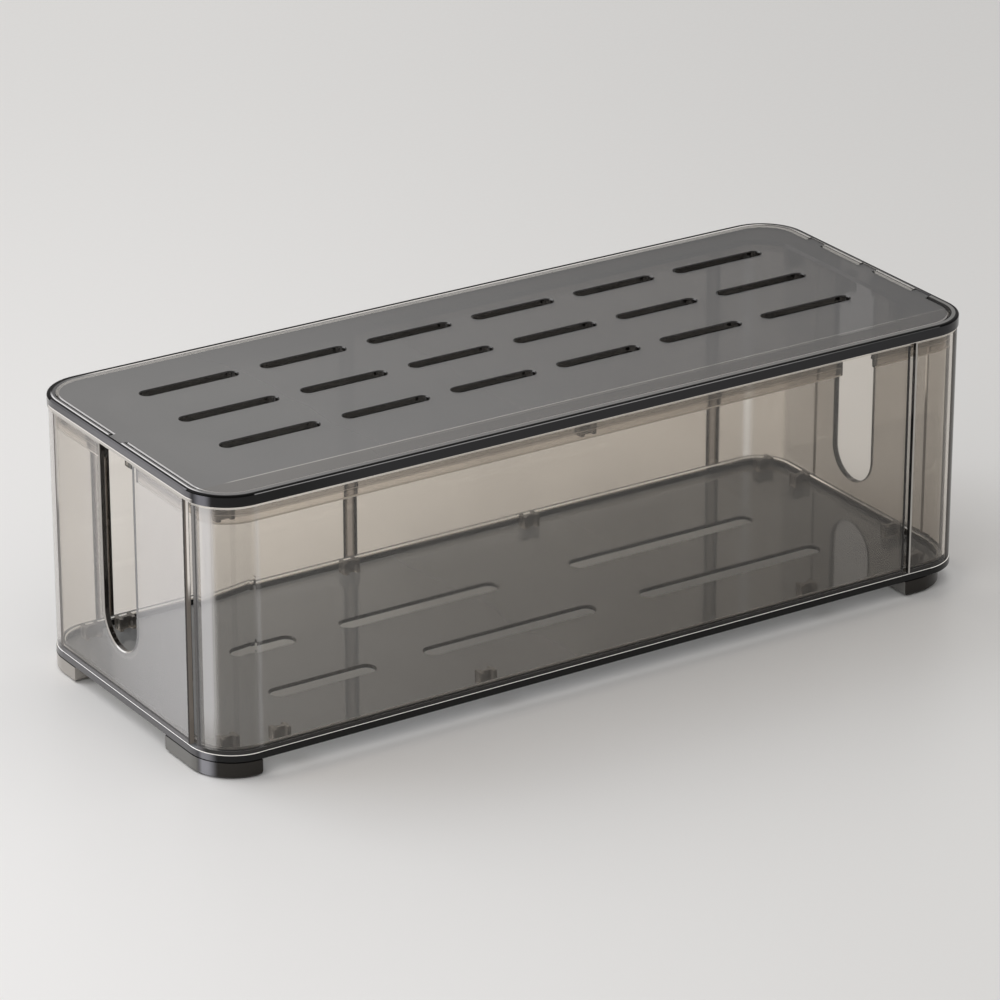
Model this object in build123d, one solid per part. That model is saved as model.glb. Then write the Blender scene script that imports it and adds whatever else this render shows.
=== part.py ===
from build123d import *
from math import hypot
import os

# A see-through cable management box: a slotted tray on four feet, wall panels
# that stand on the tray's ledge, and a framed, vented lid that lifts off.
# X runs along the box, Y from front to back, Z up. The origin is at the middle
# of the footprint, on the surface that the feet stand on. Millimetres.

# Outer size
length = 400.0
depth = 158.0
height = 130.0
corner_radius = 22.0

# Levels
foot_height = 7.4
tray_edge_height = 3.6
lid_edge_height = 5.5
floor_thickness = 1.6

# Tray
tray_inset = 0.2
tray_lip_thickness = 2.3
tray_lip_height = 2.0
tray_top_round = 0.6
edge_break = 0.45

# The play between pieces that rest on, or are held against, each other
seat_gap = 0.1

# Feet
foot_left_length = 23.5
foot_right_length = 36.5
foot_front_depth = 43.5
foot_back_depth = 33.5
foot_end_round = 2.5
foot_right_end_inset = 6.5

# Wall panels
wall_inset = 0.6
wall_thickness = 3.0
wall_edge_chamfer = 0.5
slit_width = 5.4
front_slit_width = 3.0
butt_gap = 0.3
seam_strip_thickness = 1.4
seam_strip_inset = 1.4

# Where the panels meet. The slits of the long sides are measured from the ends,
# those of the left end from where its corners begin to turn, and the others are
# shares of the length or depth from the middle.
front_slit_from_end = 35.8
back_left_slit_from_end = 33.3
back_right_slit_from_end = 36.7
left_slit_past_corner = 1.7
back_middle_slit_share = -0.0995
left_back_joint_share = 0.367
right_front_joint_share = -0.285
right_back_joint_share = 0.25

# Cord notches in the end panels
left_notch_width = 29.0
left_notch_y = 2.5
left_notch_sill = 32.5
right_notch_width = 29.0
right_notch_y = 9.5
right_notch_sill = 20.0
notch_chamfer = 0.5

# Lid frame and its locating lip
rim_width = 4.0
rim_groove = 1.0
rim_round = 0.9
ledge_thickness = 2.1
ledge_side_width = 17.0
ledge_end_width = 15.0
lip_clearance = 0.3
lip_thickness = 2.2
lip_depth = 8.5
lip_root_thickness = 3.2
lip_root_depth = 5.0
lip_notch_margin = 1.5
lip_relief_share = 0.3375
lip_relief_width = 18.0

# Lid panel
lid_panel_thickness = 2.9
lid_slot_width = 6.5
lid_slot_gap = 12.3
lid_slots_left_margin = 36.3
lid_slots_right_margin = 33.7
lid_slots_in_row = 6
lid_outer_slot_extra = 5.5
lid_rows = 3
lid_row_pitch = 34.9
lid_middle_row_y = 9.0
tab_width = 11.0
tab_reach = 2.0
tab_clearance = 0.2
left_tab_share = 0.03
right_tab_pitch_share = 0.256

# Floor slots: the width, the two rows, and both ends of each slot as shares of the length
floor_slot_width = 9.0
front_floor_row_y = -26.5
back_floor_row_y = 18.5
front_floor_slots = [(-0.357, -0.225), (-0.159, 0.066), (0.13, 0.378)]
back_floor_slots = [(-0.34, -0.261), (-0.2, 0.0075), (0.109, 0.362)]

# Socket posts, H-shaped in plan
post_bar_thickness = 1.8
post_bar_spacing = 6.2
post_depth = 5.5
post_web_thickness = 1.6
tray_post_height = 6.0
lid_post_depth = 9.0
post_wall_distance = 12.0
post_clearance = 0.5

# Posts along the sides as shares of the length, along the ends as shares of the depth
front_tray_posts = [-0.405, -0.144, 0.288, 0.439]
back_tray_posts = [-0.444, -0.406, -0.115, 0.131]
right_tray_posts = [-0.213, 0.244]
side_lid_post = -0.0175
left_lid_post = 0.03
right_lid_posts = [-0.228, 0.032, 0.291]

# Values that follow from the sizes above
tray_bottom = foot_height
floor_top = tray_bottom + floor_thickness
ledge_top = tray_bottom + tray_edge_height
lip_top = ledge_top + tray_lip_height
lid_bottom = height - lid_edge_height
lip_inset = wall_inset + wall_thickness + lip_clearance
tray_inner_inset = lip_inset + tray_lip_thickness
left_slit_y = depth / 2 - corner_radius + left_slit_past_corner
beyond = 10.0


def slab(inset, low, high):
    """A level plate with the box's outline, drawn in by inset."""
    outline = RectangleRounded(length - 2 * inset, depth - 2 * inset, corner_radius - inset)
    return Pos(0, 0, low) * extrude(outline, high - low)


def ring(outer_inset, inner_inset, low, high):
    """A level band between two insets of the box's outline."""
    return slab(outer_inset, low, high) - slab(inner_inset, low - 1, high + 1)


def block(left, right, front, back, low, high):
    """A plain block given by its six sides."""
    size = Box(right - left, back - front, high - low)
    return Pos((left + right) / 2, (front + back) / 2, (low + high) / 2) * size


def slot_cutter(left, right, row_y, width, low, high):
    """A tool for a slot with round ends that runs along X."""
    outline = SlotOverall(right - left, width)
    return Pos((left + right) / 2, row_y, low) * extrude(outline, high - low)


def edges_at(piece, level):
    """All edges of a piece that lie at one level."""
    return piece.edges().filter_by_position(Axis.Z, level, level)


# ---------------------------------------------------------------- the tray

def make_tray():
    """The slotted floor with its ledge, and the lip that the walls stand against."""
    tray = slab(tray_inset, tray_bottom, ledge_top)
    tray = fillet(edges_at(tray, ledge_top), tray_top_round)
    tray = chamfer(edges_at(tray, tray_bottom), edge_break)
    tray += ring(lip_inset, tray_inner_inset, ledge_top, lip_top)
    tray -= slab(tray_inner_inset, floor_top, lip_top + 1)
    tray = chamfer(edges_at(tray, lip_top), edge_break)
    rows = [(front_floor_row_y, front_floor_slots), (back_floor_row_y, back_floor_slots)]
    for row_y, slots in rows:
        for left, right in slots:
            tray -= slot_cutter(
                left * length, right * length, row_y, floor_slot_width,
                tray_bottom - 1, floor_top + 1)
    slot_rims = ShapeList()
    for edge in edges_at(tray, floor_top):
        if abs(edge.center().Y) < depth / 2 - tray_inner_inset - beyond:
            if abs(edge.center().X) < length / 2 - tray_inner_inset - beyond:
                slot_rims.append(edge)
    return chamfer(slot_rims, edge_break)


def make_foot(side, end):
    """One corner foot. side is -1 for front and 1 for back, end -1 for left and 1 for right."""
    foot_length = foot_left_length if end < 0 else foot_right_length
    foot_depth = foot_front_depth if side < 0 else foot_back_depth
    end_inset = 0 if end < 0 else foot_right_end_inset
    inner_x = end * (length / 2 - foot_length)
    inner_y = side * (depth / 2 - foot_depth)
    outer_x = end * (length / 2 + beyond)
    outer_y = side * (depth / 2 + beyond)
    corner = block(
        min(inner_x, outer_x), max(inner_x, outer_x),
        min(inner_y, outer_y), max(inner_y, outer_y),
        0, foot_height - seat_gap)
    corner = fillet(edges_at(corner, 0), foot_end_round)
    pad = slab(tray_inset, 0, foot_height - seat_gap)
    pad = chamfer(edges_at(pad, 0), edge_break * 2)
    return Pos(-end_inset, 0, 0) * pad & corner


# ---------------------------------------------------------------- the walls

def back_slit_places():
    """The X of the middle of each slit in the back wall, by the name of its seam strip."""
    return {
        "back_seam_left": back_left_slit_from_end - length / 2,
        "back_seam_middle": back_middle_slit_share * length,
        "back_seam_right": length / 2 - back_right_slit_from_end,
    }


def wall_regions():
    """The plan rectangle that each wall panel fills: left, right, front, back."""
    far_x = length / 2 + beyond
    far_y = depth / 2 + beyond
    half_slit = slit_width / 2
    half_butt = butt_gap / 2
    front_slit = length / 2 - front_slit_from_end
    back_left_slit, back_middle, back_right_slit = back_slit_places().values()
    right_front = right_front_joint_share * depth
    right_back = right_back_joint_share * depth
    left_back = left_back_joint_share * depth
    end_edge = left_slit_y - half_slit
    corner_edge = left_slit_y + half_slit
    return {
        "front_panel": (-far_x, front_slit - front_slit_width / 2, -far_y, -corner_edge),
        "front_right_corner": (
            front_slit + front_slit_width / 2, far_x, -far_y, right_front - half_butt),
        "right_end_panel": (0, far_x, right_front + half_butt, right_back - half_butt),
        "back_right_corner": (back_right_slit + half_slit, far_x, right_back + half_butt, far_y),
        "back_right_panel": (back_middle + half_slit, back_right_slit - half_slit, 0, far_y),
        "back_left_panel": (back_left_slit + half_slit, back_middle - half_slit, 0, far_y),
        "back_left_corner": (-far_x, back_left_slit - half_slit, left_back + half_butt, far_y),
        "left_end_panel": (-far_x, 0, -end_edge, left_back - half_butt),
    }


def butt_joint_places():
    """The Y of each close joint in the two ends."""
    shares = (left_back_joint_share, right_front_joint_share, right_back_joint_share)
    return [share * depth for share in shares]


def chamfer_panel_ends(panel, region):
    """Break the upright edges where a panel ends at a slit, and leave close joints sharp."""
    left, right, front, back = region
    ends = ShapeList()
    for edge in panel.edges().filter_by(Axis.Z):
        middle = edge.center()
        at_x = min(abs(middle.X - left), abs(middle.X - right)) < 0.01
        at_y = min(abs(middle.Y - front), abs(middle.Y - back)) < 0.01
        at_butt = min(abs(middle.Y - place) for place in butt_joint_places()) < butt_gap
        if (at_x or at_y) and not at_butt:
            ends.append(edge)
    if not ends:
        return panel
    return chamfer(ends, wall_edge_chamfer)


def notch_cutter(end, width, centre_y, sill):
    """A tool for a round-bottomed notch that is open at the top of an end panel."""
    radius = width / 2
    far_x = length / 2 + beyond
    near_x = length / 2 - corner_radius
    left = min(end * far_x, end * near_x)
    right = max(end * far_x, end * near_x)
    upright = block(
        left, right, centre_y - radius, centre_y + radius, sill + radius, height + beyond)
    round_end = Cylinder(radius, far_x - near_x, rotation=(0, 90, 0))
    return upright + Pos((left + right) / 2, centre_y, sill + radius) * round_end


def chamfer_notch(panel, end, width, centre_y):
    """Break the edges that run round a notch on both faces of an end panel."""
    outer_face = end * (length / 2 - wall_inset)
    inner_face = end * (length / 2 - wall_inset - wall_thickness)
    rim = ShapeList()
    for edge in panel.edges():
        box = edge.bounding_box()
        flat = box.size.X < 0.01
        on_face = min(abs(box.min.X - outer_face), abs(box.min.X - inner_face)) < 0.01
        within = abs(edge.center().Y - centre_y) <= width / 2 + 0.01
        below_top = box.min.Z < lid_bottom - seat_gap - 0.01
        above_foot = box.max.Z > ledge_top + seat_gap + 0.01
        if flat and on_face and within and below_top and above_foot:
            rim.append(edge)
    return chamfer(rim, notch_chamfer)


def make_walls():
    """All wall panels, cut from one upright shell that follows the box's outline."""
    low = ledge_top + seat_gap
    high = lid_bottom - seat_gap
    shell = ring(wall_inset, wall_inset + wall_thickness, low, high)
    notches = {
        "left_end_panel": (-1, left_notch_width, left_notch_y, left_notch_sill),
        "right_end_panel": (1, right_notch_width, right_notch_y, right_notch_sill),
    }
    panels = {}
    for name, region in wall_regions().items():
        panel = shell & block(*region, ledge_top - 1, lid_bottom + 1)
        panel = chamfer_panel_ends(panel, region)
        if name in notches:
            end, width, centre_y, sill = notches[name]
            panel -= notch_cutter(end, width, centre_y, sill)
            panel = chamfer_notch(panel, end, width, centre_y)
        panels[name] = panel
    return panels


def make_seam_strips():
    """The thin upright strips that close the slits of the back wall."""
    half = slit_width / 2 - seat_gap
    back = depth / 2 - seam_strip_inset
    front = back - seam_strip_thickness
    low = ledge_top + seat_gap
    high = lid_bottom - seat_gap
    strips = {}
    for name, x in back_slit_places().items():
        strips[name] = block(x - half, x + half, front, back, low, high)
    return strips


# ---------------------------------------------------------------- the lid

def tab_places():
    """The end and the Y of each tab that locks the lid panel into its frame."""
    places = [(-1, left_tab_share * depth)]
    for step in (-1, 0, 1):
        places.append((1, step * right_tab_pitch_share * depth))
    return places


def tab_block(end, centre_y, slack, low, high):
    """The space of one tab: it crosses the groove and reaches into the rim."""
    outer = end * (length / 2 - rim_width + tab_reach + slack)
    inner = end * (length / 2 - rim_width - rim_groove - tab_reach)
    half = tab_width / 2 + slack
    return block(min(outer, inner), max(outer, inner), centre_y - half, centre_y + half, low, high)


def make_lid_frame():
    """The lid's rim, with the ledge inside it that carries the vented panel."""
    ledge_level = lid_bottom + ledge_thickness
    frame = slab(0, lid_bottom, height)
    frame = fillet(edges_at(frame, height), rim_round)
    frame = chamfer(edges_at(frame, lid_bottom), edge_break)
    frame -= slab(rim_width, ledge_level, height + 1)
    window = RectangleRounded(
        length - 2 * ledge_end_width, depth - 2 * ledge_side_width, corner_radius - rim_width)
    frame -= Pos(0, 0, lid_bottom - 1) * extrude(window, lid_edge_height + 2)
    for end, centre_y in tab_places():
        frame -= tab_block(end, centre_y, tab_clearance, ledge_level, height + 1)
    return frame


def lid_slot_spans():
    """The two ends of each slot in a row of the lid, from left to right."""
    field = length - lid_slots_left_margin - lid_slots_right_margin
    gaps = lid_slot_gap * (lid_slots_in_row - 1)
    inner_length = (field - gaps - 2 * lid_outer_slot_extra) / lid_slots_in_row
    left = lid_slots_left_margin - length / 2
    spans = []
    for number in range(lid_slots_in_row):
        outermost = number in (0, lid_slots_in_row - 1)
        slot_length = inner_length + lid_outer_slot_extra if outermost else inner_length
        spans.append((left, left + slot_length))
        left += slot_length + lid_slot_gap
    return spans


def make_lid_panel():
    """The vented panel that lies on the frame's ledge, with its locking tabs."""
    low = lid_bottom + ledge_thickness + seat_gap
    high = low + lid_panel_thickness
    panel = slab(rim_width + rim_groove, low, high)
    for end, centre_y in tab_places():
        panel += tab_block(end, centre_y, 0, low, high)
    first_row = lid_middle_row_y - lid_row_pitch * (lid_rows - 1) / 2
    for row in range(lid_rows):
        row_y = first_row + row * lid_row_pitch
        for left, right in lid_slot_spans():
            panel -= slot_cutter(left, right, row_y, lid_slot_width, low - 1, high + 1)
    return chamfer(edges_at(panel, high), edge_break)


def make_lid_lips():
    """The strips under the lid that drop inside the walls and keep it in place."""
    top = lid_bottom - seat_gap
    lip = ring(lip_inset, lip_inset + lip_thickness, lid_bottom - lip_depth, top)
    lip = chamfer(edges_at(lip, lid_bottom - lip_depth), edge_break)
    root_inset = lip_inset + lip_root_thickness
    lip += ring(lip_inset, root_inset, lid_bottom - lip_root_depth, top)
    far_x = length / 2 + beyond
    far_y = depth / 2 + beyond
    low = lid_bottom - lip_depth - 1
    high = lid_bottom + 1
    left_half = left_notch_width / 2 + lip_notch_margin
    right_half = right_notch_width / 2 + lip_notch_margin
    relief_left = lip_relief_share * length - lip_relief_width / 2
    relief_right = lip_relief_share * length + lip_relief_width / 2
    front_left = block(-far_x, relief_left, -far_y, left_notch_y - left_half, low, high)
    front_right = block(relief_right, far_x, -far_y, right_notch_y - right_half, low, high)
    back = block(-far_x, 0, left_notch_y + left_half, far_y, low, high)
    back += block(0, far_x, right_notch_y + right_half, far_y, low, high)
    return {
        "lid_lip_front_left": lip & front_left,
        "lid_lip_front_right": lip & front_right,
        "lid_lip_back": lip & back,
    }


# ---------------------------------------------------------------- the posts

def make_post(x, y, low, high):
    """An H-shaped socket post, upright on the point x, y."""
    half_depth = post_depth / 2
    half_bar = post_bar_thickness / 2
    half_spacing = post_bar_spacing / 2
    half_web = post_web_thickness / 2
    post = block(x - half_spacing, x + half_spacing, y - half_web, y + half_web, low, high)
    for bar_x in (x - half_spacing, x + half_spacing):
        post += block(bar_x - half_bar, bar_x + half_bar, y - half_depth, y + half_depth, low, high)
    return post


def corner_post_place():
    """How far a corner post stands from the box's middle, as X and Y."""
    reach_of_post = hypot(post_bar_spacing + post_bar_thickness, post_depth) / 2
    inner_radius = corner_radius - lip_inset - lip_root_thickness
    step = (inner_radius - reach_of_post - post_clearance) / 2 ** 0.5
    return length / 2 - corner_radius + step, depth / 2 - corner_radius + step


def tray_post_places():
    """The plan point of each post on the tray's floor."""
    side_y = depth / 2 - post_wall_distance
    end_x = length / 2 - post_wall_distance
    corner_x, corner_y = corner_post_place()
    places = {"tray_post_front_left_corner": (-corner_x, -corner_y)}
    for number, share in enumerate(front_tray_posts, 1):
        places[f"tray_post_front_{number}"] = (share * length, -side_y)
    for number, share in enumerate(back_tray_posts, 1):
        places[f"tray_post_back_{number}"] = (share * length, side_y)
    for number, share in enumerate(right_tray_posts, 1):
        places[f"tray_post_right_{number}"] = (end_x, share * depth)
    places["tray_post_back_right_corner"] = (corner_x, corner_y)
    return places


def lid_post_places():
    """The plan point of each post under the lid's frame."""
    side_y = depth / 2 - post_wall_distance
    end_x = length / 2 - post_wall_distance
    corner_x, corner_y = corner_post_place()
    places = {
        "lid_post_front_left_corner": (-corner_x, -corner_y),
        "lid_post_back_left_corner": (-corner_x, corner_y),
        "lid_post_front": (side_lid_post * length, -side_y),
        "lid_post_back": (side_lid_post * length, side_y),
        "lid_post_left": (-end_x, left_lid_post * depth),
    }
    for number, share in enumerate(right_lid_posts, 1):
        places[f"lid_post_right_{number}"] = (end_x, share * depth)
    return places


def build_all():
    """Every sub-part by the name of its node."""
    parts = {"base_tray": make_tray()}
    for side_name, side in (("front", -1), ("back", 1)):
        for end_name, end in (("left", -1), ("right", 1)):
            parts[f"foot_{side_name}_{end_name}"] = make_foot(side, end)
    parts.update(make_walls())
    parts.update(make_seam_strips())
    parts["lid_frame"] = make_lid_frame()
    parts["lid_panel"] = make_lid_panel()
    parts.update(make_lid_lips())
    for name, (x, y) in tray_post_places().items():
        parts[name] = make_post(x, y, floor_top + seat_gap, floor_top + tray_post_height)
    for name, (x, y) in lid_post_places().items():
        parts[name] = make_post(x, y, lid_bottom - lid_post_depth, lid_bottom - seat_gap)
    return parts


os.makedirs("parts", exist_ok=True)
for node, shape in build_all().items():
    export_step(shape, f"parts/{node}.step")
    print(node, round(shape.volume, 1))
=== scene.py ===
"""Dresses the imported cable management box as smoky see-through plastic in a pale studio.

The CAD nodes stay where the frame puts them. Each face of a node is sorted by what it is
on the moulding (a polished face, a cut edge, an eased edge or a glossy band), and each sort
has its own finish. Lengths are in millimetres unless a name says otherwise.
"""
import logging
import math
from dataclasses import dataclass
from enum import Enum
from typing import Iterable

import bpy
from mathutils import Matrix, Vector


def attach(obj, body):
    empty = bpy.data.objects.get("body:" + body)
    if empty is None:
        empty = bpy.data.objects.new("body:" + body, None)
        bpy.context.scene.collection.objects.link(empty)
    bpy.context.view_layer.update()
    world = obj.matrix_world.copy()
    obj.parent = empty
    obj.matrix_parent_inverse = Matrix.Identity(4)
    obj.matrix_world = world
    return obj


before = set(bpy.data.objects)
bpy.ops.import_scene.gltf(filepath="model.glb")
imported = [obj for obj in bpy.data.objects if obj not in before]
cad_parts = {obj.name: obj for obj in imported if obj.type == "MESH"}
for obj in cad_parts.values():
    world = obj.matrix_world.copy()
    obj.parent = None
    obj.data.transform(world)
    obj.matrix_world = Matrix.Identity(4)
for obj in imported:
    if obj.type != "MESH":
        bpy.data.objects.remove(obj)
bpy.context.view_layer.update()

MM = 0.001
HALF_LENGTH = 200.0
HALF_DEPTH = 79.0
CORNER_RADIUS = 22.0
STYRENE_IOR = 1.49
log = logging.getLogger("cable_box")

Angles = tuple[float, float, float, float]
Colour = tuple[float, float, float, float]
Point = tuple[float, float]
Triple = tuple[float, float, float]
Socket = bpy.types.NodeSocket


def linear(hex_colour: str) -> Colour:
    """Turns an sRGB hex colour into the linear one that a shader socket takes.

    Args:
        hex_colour: A hash and six hex digits.

    Returns:
        Red, green, blue, and an alpha of 1.
    """
    channels = []
    for start in (1, 3, 5):
        value = int(hex_colour[start:start + 2], 16) / 255
        channels.append(value / 12.92 if value <= 0.04045 else ((value + 0.055) / 1.055) ** 2.4)
    return channels[0], channels[1], channels[2], 1.0


class Graph:
    """A shader node tree under construction."""

    def __init__(self, owner: bpy.types.Material | bpy.types.World) -> None:
        """Clears the owner's tree.

        Args:
            owner: A material or a world.
        """
        owner.use_nodes = True
        self.tree = owner.node_tree
        self.tree.nodes.clear()

    def add(self, kind: str, settings: dict | None = None,
            links: dict | None = None) -> bpy.types.Node:
        """Adds a node with its settings and links.

        Args:
            kind: The node's type, without the leading ShaderNode.
            settings: Attributes by name, and input values by socket name or number.
            links: The output socket that feeds each input, by socket name or number.

        Returns:
            The new node.
        """
        node = self.tree.nodes.new("ShaderNode" + kind)
        for name, value in (settings or {}).items():
            if isinstance(name, str) and hasattr(node, name):
                setattr(node, name, value)
            else:
                node.inputs[name].default_value = value
        for name, socket in (links or {}).items():
            self.tree.links.new(socket, node.inputs[name])
        return node

    def math(self, operation: str, first: Socket | float, second: Socket | float = 0.0) -> Socket:
        """Joins two values, each a socket or a plain number, by one operation."""
        settings: dict = {"operation": operation}
        links = {}
        for number, value in enumerate((first, second)):
            (settings if isinstance(value, float) else links)[number] = value
        return self.add("Math", settings, links).outputs[0]

    def ramp(self, value: Socket, low: float, high: float,
             start: float = 0.0, end: float = 1.0) -> Socket:
        """Eases a value that runs from low to high into one from start to end."""
        node = self.add(
            "MapRange",
            {"interpolation_type": "SMOOTHSTEP", "From Min": low, "From Max": high,
             "To Min": start, "To Max": end},
            {"Value": value})
        return node.outputs["Result"]

    def rise(self, value: Socket, low: float, high: float,
             start: float = 0.0, end: float = 1.0) -> Socket:
        """The same for a value in metres that runs between two places in millimetres."""
        return self.ramp(value, low * MM, high * MM, start, end)

    def step(self, value: Socket, level: float, half_width: float = 0.1) -> Socket:
        """Rises from 0 to 1 at a place in millimetres; with a negative width it falls."""
        return self.rise(value, level - half_width, level + half_width)

    def between(self, share: Socket, start: float, end: float) -> Socket:
        """A value that eases from start to end as a share runs from 0 to 1."""
        return self.ramp(share, 0.0, 1.0, start, end)

    def where(self, share: Socket, value: Socket) -> Socket:
        """A value where a share is 1, and 1 where the share is 0."""
        return self.add("Mix", {2: 1.0}, {0: share, 3: value}).outputs[0]

    def blend(self, share: Socket, first: Socket | str, second: Socket | str,
              kind: str = "MIX") -> Socket:
        """Mixes two colours, each a socket or a hex colour."""
        settings: dict = {"data_type": "RGBA", "blend_type": kind}
        links = {0: share}
        for number, colour in ((6, first), (7, second)):
            if isinstance(colour, str):
                settings[number] = linear(colour)
            else:
                links[number] = colour
        return self.add("Mix", settings, links).outputs[2]

    def vector(self, operation: str, first: Socket,
               second: Triple = (0.0, 0.0, 0.0), out: int = 0) -> Socket:
        """One operation on a vector and a fixed vector; output 1 is the value."""
        node = self.add("VectorMath", {"operation": operation, 1: second}, {0: first})
        return node.outputs[out]

    def scaled(self, colour: Socket, share: Socket) -> Socket:
        """A colour times a value."""
        return self.add(
            "VectorMath", {"operation": "SCALE"}, {0: colour, "Scale": share}).outputs[0]

    def times(self, first: Socket, second: Socket) -> Socket:
        """The product of two values."""
        return self.math("MULTIPLY", first, second)

    def larger(self, first: Socket, second: Socket) -> Socket:
        """The larger of two values."""
        return self.math("MAXIMUM", first, second)

    def size(self, value: Socket) -> Socket:
        """A value without its sign."""
        return self.math("ABSOLUTE", value)

    def part(self, point: Socket, axis: int) -> Socket:
        """One coordinate of a point."""
        return self.add("SeparateXYZ", {}, {0: point}).outputs[axis]

    def place(self, axis: int | None = None) -> Socket:
        """The shaded point in the object's own space, or one coordinate of it."""
        point = self.add("TexCoord").outputs["Object"]
        return point if axis is None else self.part(point, axis)

    def along(self, direction: Triple) -> Socket:
        """The shaded point's distance along a fixed direction, in metres."""
        return self.vector("DOT_PRODUCT", self.place(), direction, 1)

    def noise(self, wave: float, detail: float) -> Socket:
        """A noise with waves of a given length in millimetres."""
        texture = self.add(
            "TexNoise", {"Scale": 1 / (wave * MM), "Detail": detail}, {"Vector": self.place()})
        return texture.outputs["Fac"]

    def waver(self, noise: Socket, low: float, high: float) -> Socket:
        """A value that follows a noise between two others."""
        return self.ramp(noise, 0.3, 0.7, low, high)

    def line(self, value: Socket, middle: float, half_width: float) -> Socket:
        """A soft-edged line, from 0 to 1, where a value in metres nears one in millimetres."""
        reach = self.size(self.math("SUBTRACT", value, middle * MM))
        return self.rise(reach, half_width, half_width * 0.4)

    def length(self, first: Socket, second: Socket) -> Socket:
        """The length of a plane vector."""
        plane = self.add("CombineXYZ", {}, {0: first, 1: second}).outputs[0]
        return self.vector("LENGTH", plane, out=1)

    def leftward(self) -> Socket:
        """How squarely the surface faces the left end in plan, as a cosine."""
        normal = self.add("NewGeometry").outputs["Normal"]
        flat = self.vector("MULTIPLY", normal, (1.0, 1.0, 0.0))
        return self.vector("DOT_PRODUCT", self.vector("NORMALIZE", flat), (-1.0, 0.0, 0.0), 1)

    def turn(self, angles: Angles) -> Socket:
        """The part of the front left corner's turn between some angles, from 0 to 1.

        Args:
            angles: Where it starts to rise, is full, starts to fall and is gone, in degrees
                from the left end.
        """
        leftward = self.leftward()
        rise, full, fall, gone = (math.cos(math.radians(angle)) for angle in angles)
        part = self.times(self.ramp(leftward, rise, full), self.ramp(leftward, gone, fall))
        nearby = self.rise(self.along((1.0, 1.0, 0.0)), -225.0, -232.0)
        return self.times(part, nearby)

    def inset(self) -> Socket:
        """How far inside the box's plan outline the shaded point lies, in metres."""
        across, along = (
            self.math("SUBTRACT", self.size(self.place(axis)), (half - CORNER_RADIUS) * MM)
            for axis, half in ((0, HALF_LENGTH), (1, HALF_DEPTH)))
        outer = self.length(self.math("MAXIMUM", across, 0.0), self.math("MAXIMUM", along, 0.0))
        inner = self.math("MINIMUM", self.larger(across, along), 0.0)
        return self.math("SUBTRACT", CORNER_RADIUS * MM, self.math("ADD", outer, inner))


class Layers(Graph):
    """A material's tree, with the layers that a finish lays over its plain tone."""

    def __init__(self, material: bpy.types.Material) -> None:
        """Clears the material's tree and finds the shaded point's coordinates.

        Args:
            material: The tree's owner.
        """
        super().__init__(material)
        self.x, self.y, self.z = (self.place(axis) for axis in range(3))
        self.colour: Socket | None = None
        self.inputs: dict[str, Socket] = {}

    def patch(self, along: Point, across: Point) -> Socket:
        """A share that rises between two places along the box and two across it."""
        return self.times(self.rise(self.x, *along), self.rise(self.y, *across))

    def paint(self, share: Socket, colour: str | Socket) -> None:
        """Blends towards a colour where a share is 1."""
        self.colour = self.blend(share, self.colour, colour)

    def dim(self, share: Socket, amount: float) -> None:
        """Keeps only an amount of the colour where a share is 1."""
        self.colour = self.scaled(self.colour, self.between(share, 1.0, amount))

    def cloud(self, share: Socket, clarity: float) -> None:
        """Keeps only a part of the light that passes where a share is 1."""
        clear = self.inputs["Transmission Weight"]
        self.inputs["Transmission Weight"] = self.times(
            clear, self.between(share, 1.0, clarity))


# ---- the finishes

@dataclass(frozen=True)
class SmokedPlastic:
    """Smoke-tinted injection-moulded polystyrene, polished by the mould.

    The base colour is what one thickness lets through. A clarity under 1 scatters part of
    the light, which hides what lies behind. The melt's flow wavers in tint and gloss.

    Attributes:
        name: The material's name, without the plastic's own.
        left: Colour that passes at the box's left end.
        right: Colour that passes at its right end.
        clarity: Share of the light that passes straight through, at the left and right end.
        roughness: Mean surface roughness.
        lamp_share: Share of a lamp's light that one thickness lets through.
    """

    name: str
    left: str
    right: str
    clarity: tuple[float, float] = (1.0, 1.0)
    roughness: float = 0.03
    lamp_share: float = 0.6

    def shadow_tint(self) -> Colour:
        """What one face of a slab lets through for a lamp's light."""
        pairs = [(a + b) / 2 for a, b in zip(linear(self.left)[:3], linear(self.right)[:3])]
        mean = sum(pairs) / 3
        red, green, blue = (math.sqrt(value / mean * self.lamp_share) for value in pairs)
        return red, green, blue, 1.0

    def detail(self, graph: Layers) -> None:
        """Adds what one kind of sheet shows beyond its plain tint.

        Args:
            graph: The sheet's tint and inputs, which a kind may lay more over.
        """

    def build(self) -> bpy.types.Material:
        """Makes the material.

        Returns:
            A material with one Principled shader that lamps' light passes through.
        """
        material = bpy.data.materials.new(self.name + "_polystyrene")
        graph = Layers(material)
        rightward = graph.rise(graph.x, -HALF_LENGTH, HALF_LENGTH)
        tint = graph.blend(rightward, self.left, self.right)
        flow = graph.noise(45.0, 3.0)
        graph.colour = graph.scaled(tint, graph.waver(flow, 1.0, 0.955))
        graph.inputs = {
            "Roughness": graph.waver(flow, self.roughness * 0.7, self.roughness * 1.4),
            "Transmission Weight": graph.rise(graph.x, -HALF_LENGTH, HALF_LENGTH, *self.clarity)}
        self.detail(graph)
        body = graph.add(
            "BsdfPrincipled", {"IOR": STYRENE_IOR}, {**graph.inputs, "Base Color": graph.colour})
        clear = graph.add("BsdfTransparent", {"Color": self.shadow_tint()})
        for_lamps = graph.add("LightPath").outputs["Is Shadow Ray"]
        mix = graph.add("MixShader", {}, {0: for_lamps, 1: body.outputs[0], 2: clear.outputs[0]})
        graph.add("OutputMaterial", {}, {0: mix.outputs[0]})
        return material


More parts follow.
